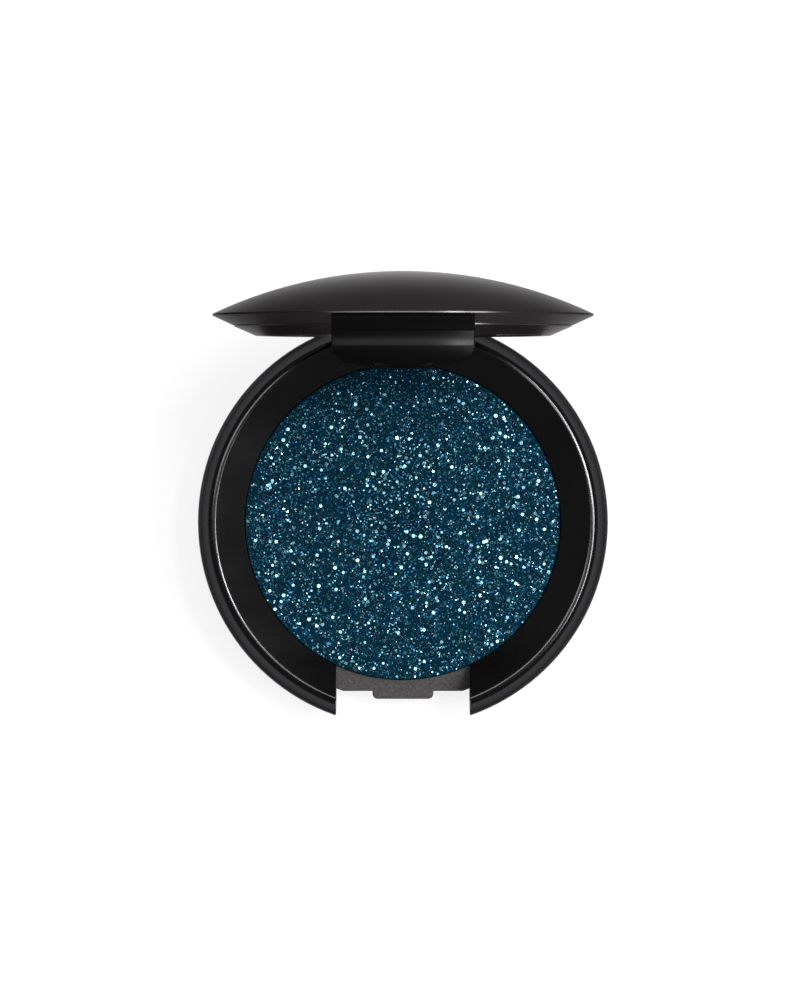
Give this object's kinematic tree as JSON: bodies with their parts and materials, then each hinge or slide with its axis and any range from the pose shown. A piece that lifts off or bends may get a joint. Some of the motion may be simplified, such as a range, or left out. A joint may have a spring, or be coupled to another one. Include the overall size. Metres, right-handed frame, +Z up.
{
  "type": "eyeshadow palette",
  "caption": "Round single-pan makeup compact with a hinged domed lid, a front tongue catch and a pressed glitter shadow.",
  "frame": {"origin": "centre of the flat face the case rests on", "axes": "+Z up, square to the resting face; +Y to the hinge at the back; -Y to the catch at the front; +X to the right; stored with the lid open 88.5 degrees from shut"},
  "size_m": [0.07, 0.0742, 0.0727],
  "materials": {
    "case_satin_black": "satin",
    "rim_satin_black": "satin with a polished crest",
    "platform_textured": "spark-eroded texture",
    "pan_metal": "drawn",
    "glitter_teal": "pressed glitter",
    "glue_dots": "cured adhesive",
    "label_stock": "printed film, blank",
    "pin_steel": "ground",
    "lid_satin_black": "satin soft-touch",
    "lid_frame_black": "satin",
    "mirror_glass": "silvered",
    "tape_foam": "foam adhesive"
  },
  "bodies": {
    "base": {"bottom_shell": "case_satin_black", "rim_ring": "rim_satin_black", "inner_platform": "platform_textured", "pan": "pan_metal", "glitter_cake": "glitter_teal", "pan_glue_dots": "glue_dots", "bottom_label": "label_stock", "hinge_pin": "pin_steel"},
    "lid": {"lid_shell": "lid_satin_black", "lid_frame": "lid_frame_black", "mirror": "mirror_glass", "mirror_tape": "tape_foam"}
  },
  "joints": [
    {"name": "lid_hinge", "type": "hinge", "parent": "base", "child": "lid", "pos_m": [0, 0.031, 0.007], "axis": [-1, 0, 0], "range_deg": [-88.5, 26.5]}
  ]
}
